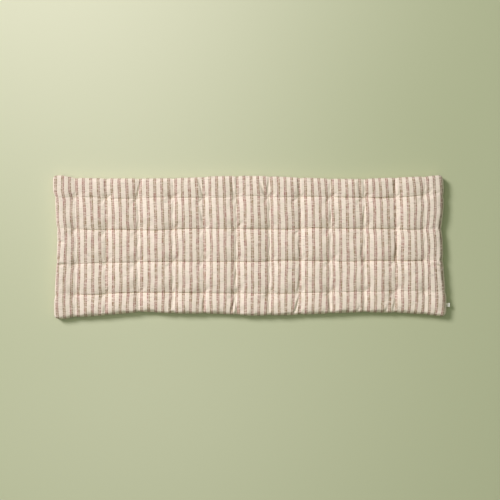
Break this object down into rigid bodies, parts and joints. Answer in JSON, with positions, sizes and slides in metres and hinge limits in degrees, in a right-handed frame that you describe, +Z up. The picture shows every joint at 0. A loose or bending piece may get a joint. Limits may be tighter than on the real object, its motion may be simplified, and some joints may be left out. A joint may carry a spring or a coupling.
{
  "type": "tufted sofa topper",
  "caption": "Long flat filled pad in striped cloth, tufted in a grid, with drawn-in sides and a small label in one end seam, laid loose on a sofa or bench seat.",
  "frame": {"origin": "centre of the topper's footprint, label included, on the plane that it lies on", "axes": "+X along the topper towards the end with the label, +Y across it, +Z up out of its upper face"},
  "size_m": [1.824, 0.66, 0.0504],
  "materials": {
    "striped_cotton": "matte slubby cotton and linen weave, cream with taupe stripes across the topper",
    "label_tape": "smooth white woven tape, blank"
  },
  "bodies": {
    "root": {"pad": "striped_cotton", "side_label": "label_tape"}
  },
  "joints": []
}
